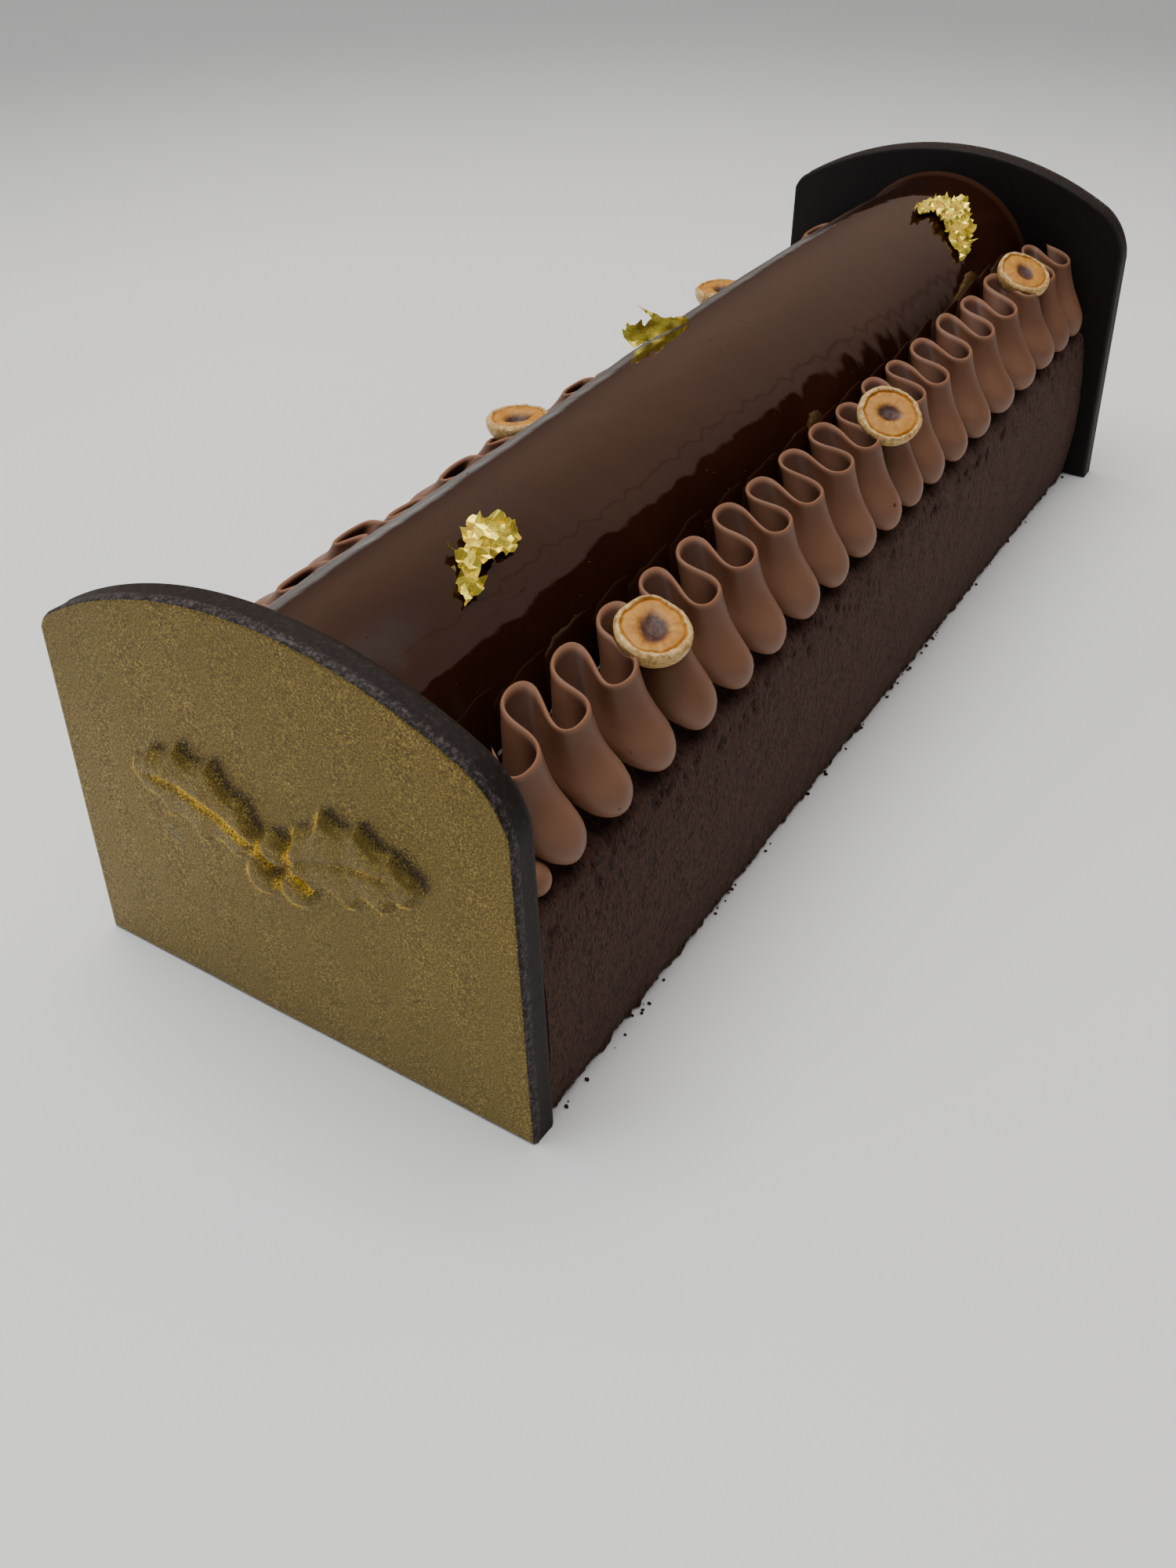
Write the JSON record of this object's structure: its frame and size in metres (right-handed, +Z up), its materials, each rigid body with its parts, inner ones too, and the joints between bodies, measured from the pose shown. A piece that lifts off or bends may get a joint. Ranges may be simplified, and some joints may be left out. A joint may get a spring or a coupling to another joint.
{
  "type": "yule log cake",
  "caption": "Chocolate yule log cake: velvet mousse block, mirror-glazed log, piped ganache ruffles, hazelnut halves, gold leaf and embossed gold end plaques.",
  "frame": {"origin": "centre of the cake's footprint, on the surface it rests on", "axes": "+X across the cake to its right side as seen from the front plaque, +Y along the log from the front plaque to the far one, +Z up"},
  "size_m": [0.1091, 0.3071, 0.0891],
  "materials": {
    "gold": "chocolate brushed with gold lustre dust",
    "velvet": "sprayed cocoa velvet, powdery",
    "glaze": "chocolate mirror glaze",
    "ganache": "satin whipped milk chocolate ganache",
    "hazelnut": "roasted nut",
    "leaf": "edible gold leaf, bright and crumpled"
  },
  "bodies": {
    "root": {"plaque_front": "gold", "plaque_far": "gold", "velvet_block": "velvet", "glazed_log": "glaze", "piping_right": "ganache", "piping_left": "ganache", "hazelnut_1": "hazelnut", "hazelnut_2": "hazelnut", "hazelnut_3": "hazelnut", "hazelnut_4": "hazelnut", "hazelnut_5": "hazelnut", "gold_leaf_1": "leaf", "gold_leaf_2": "leaf", "gold_leaf_3": "leaf"}
  },
  "joints": []
}
